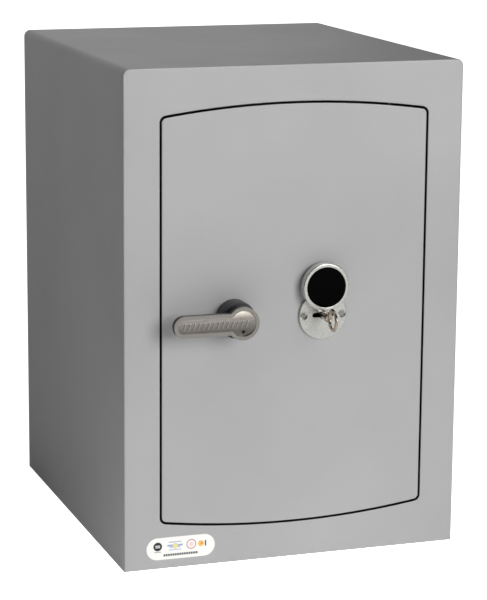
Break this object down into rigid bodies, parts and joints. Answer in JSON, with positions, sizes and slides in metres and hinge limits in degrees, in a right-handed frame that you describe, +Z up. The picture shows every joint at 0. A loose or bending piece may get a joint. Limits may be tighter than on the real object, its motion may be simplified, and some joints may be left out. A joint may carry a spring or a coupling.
{
  "type": "key safe",
  "caption": "Steel key safe with an arched flush door, lever handle, boltwork and double-bit key lock under a swing cover.",
  "frame": {"origin": "centre of the cabinet's footprint on the floor", "axes": "+X right seen from the front, +Y to the back, +Z up; the door faces -Y"},
  "size_m": [0.352, 0.4425, 0.5],
  "materials": {
    "body_paint": "fine satin silver-grey powder coat",
    "inner_paint": "smooth light grey powder coat",
    "barrier_fill": "cast mineral barrier fill",
    "plated_steel": "bright zinc plated steel",
    "hard_steel": "hardened, blued",
    "brass": "machined",
    "satin_nickel": "satin nickel with polished rims",
    "dark_pin": "blackened",
    "anthracite": "satin anthracite",
    "black_inlay": "black gloss",
    "grey_felt": "needled felt",
    "white_label": "white film label with plain coloured shapes"
  },
  "bodies": {
    "cabinet": {"outer_wrapper": "body_paint", "front_frame": "body_paint", "rear_plate": "body_paint", "base_plate": "body_paint", "barrier_infill": "barrier_fill", "liner_left": "inner_paint", "liner_right": "inner_paint", "liner_roof": "inner_paint", "liner_floor": "inner_paint", "liner_back": "inner_paint", "anchor_sleeves": "plated_steel", "strike_channel": "inner_paint", "hinge_sockets": "plated_steel", "thrust_ball": "plated_steel", "shelf_ledges": "inner_paint", "floor_mat": "grey_felt", "rating_label": "white_label"},
    "shelf": {"shelf_panel": "inner_paint"},
    "door": {"door_plate": "body_paint", "door_pan": "inner_paint", "hard_plate": "hard_steel", "hinge_blocks": "plated_steel", "hinge_pins": "plated_steel", "dog_bolts": "plated_steel", "dog_bolt_nuts": "plated_steel", "bolt_bushes": "brass", "guide_posts": "plated_steel", "guide_clips": "plated_steel", "boltwork_cover": "inner_paint", "cover_screws": "plated_steel", "handle_rose": "anthracite", "spindle_bush": "brass", "escutcheon_plate": "satin_nickel", "escutcheon_screws": "satin_nickel", "cover_rivet": "plated_steel", "lock_case": "plated_steel", "lock_lid": "plated_steel", "lock_screws": "plated_steel", "lever_post": "plated_steel"},
    "handle": {"lever_handle": "satin_nickel", "lever_pin": "dark_pin", "spindle": "plated_steel", "spindle_clip": "plated_steel", "cam_plate": "plated_steel"},
    "carriage": {"bolt_carriage": "plated_steel", "locking_bolts": "plated_steel", "bolt_screws": "plated_steel", "follower_pin": "plated_steel"},
    "lock_bolt": {"lock_bolt": "plated_steel"},
    "lever_pack": {"lock_levers": "brass", "lever_springs": "plated_steel"},
    "key_rotor": {"key_guide": "brass", "key_guide_clip": "brass"},
    "key": {"key": "satin_nickel"},
    "swing_cover": {"cover_cap": "satin_nickel", "cover_insert": "black_inlay"}
  },
  "joints": [
    {"name": "door_hinge", "type": "hinge", "parent": "cabinet", "child": "door", "pos_m": [0.0996, -0.1905, 0.25], "axis": [0, 0, 1], "range_deg": [0, 92]},
    {"name": "handle_turn", "type": "hinge", "parent": "door", "child": "handle", "pos_m": [-0.0638, -0.2, 0.2521], "axis": [0, 1, 0], "range_deg": [-90, 0]},
    {"name": "bolt_throw", "type": "slide", "parent": "door", "child": "carriage", "axis": [1, 0, 0], "range_m": [-0.018, 0]},
    {"name": "key_turn", "type": "hinge", "parent": "door", "child": "key_rotor", "pos_m": [0.0292, -0.2, 0.2493], "axis": [0, 1, 0], "range_deg": [-180, 0]},
    {"name": "lock_throw", "type": "slide", "parent": "door", "child": "lock_bolt", "axis": [0, 0, 1], "range_m": [0, 0.01]},
    {"name": "lever_lift", "type": "hinge", "parent": "door", "child": "lever_pack", "pos_m": [0.002, -0.2, 0.226], "axis": [0, 1, 0], "range_deg": [0, 3]},
    {"name": "key_pull", "type": "slide", "parent": "key_rotor", "child": "key", "axis": [0, -1, 0], "range_m": [0, 0.05]},
    {"name": "cover_swing", "type": "hinge", "parent": "door", "child": "swing_cover", "pos_m": [0.0292, -0.2, 0.2644], "axis": [0, 1, 0], "range_deg": [-36, 36]},
    {"name": "shelf_lift", "type": "slide", "parent": "cabinet", "child": "shelf", "axis": [0, 0, 1], "range_m": [0, 0.06]}
  ],
  "couplings": [
    {"joint": "bolt_throw", "follows": "handle_turn", "m_per_rad": 0.011459},
    {"joint": "lock_throw", "follows": "key_turn", "m_per_rad": -0.0031831},
    {"joint": "lever_lift", "follows": "key_turn", "ratio": -0.016667}
  ]
}
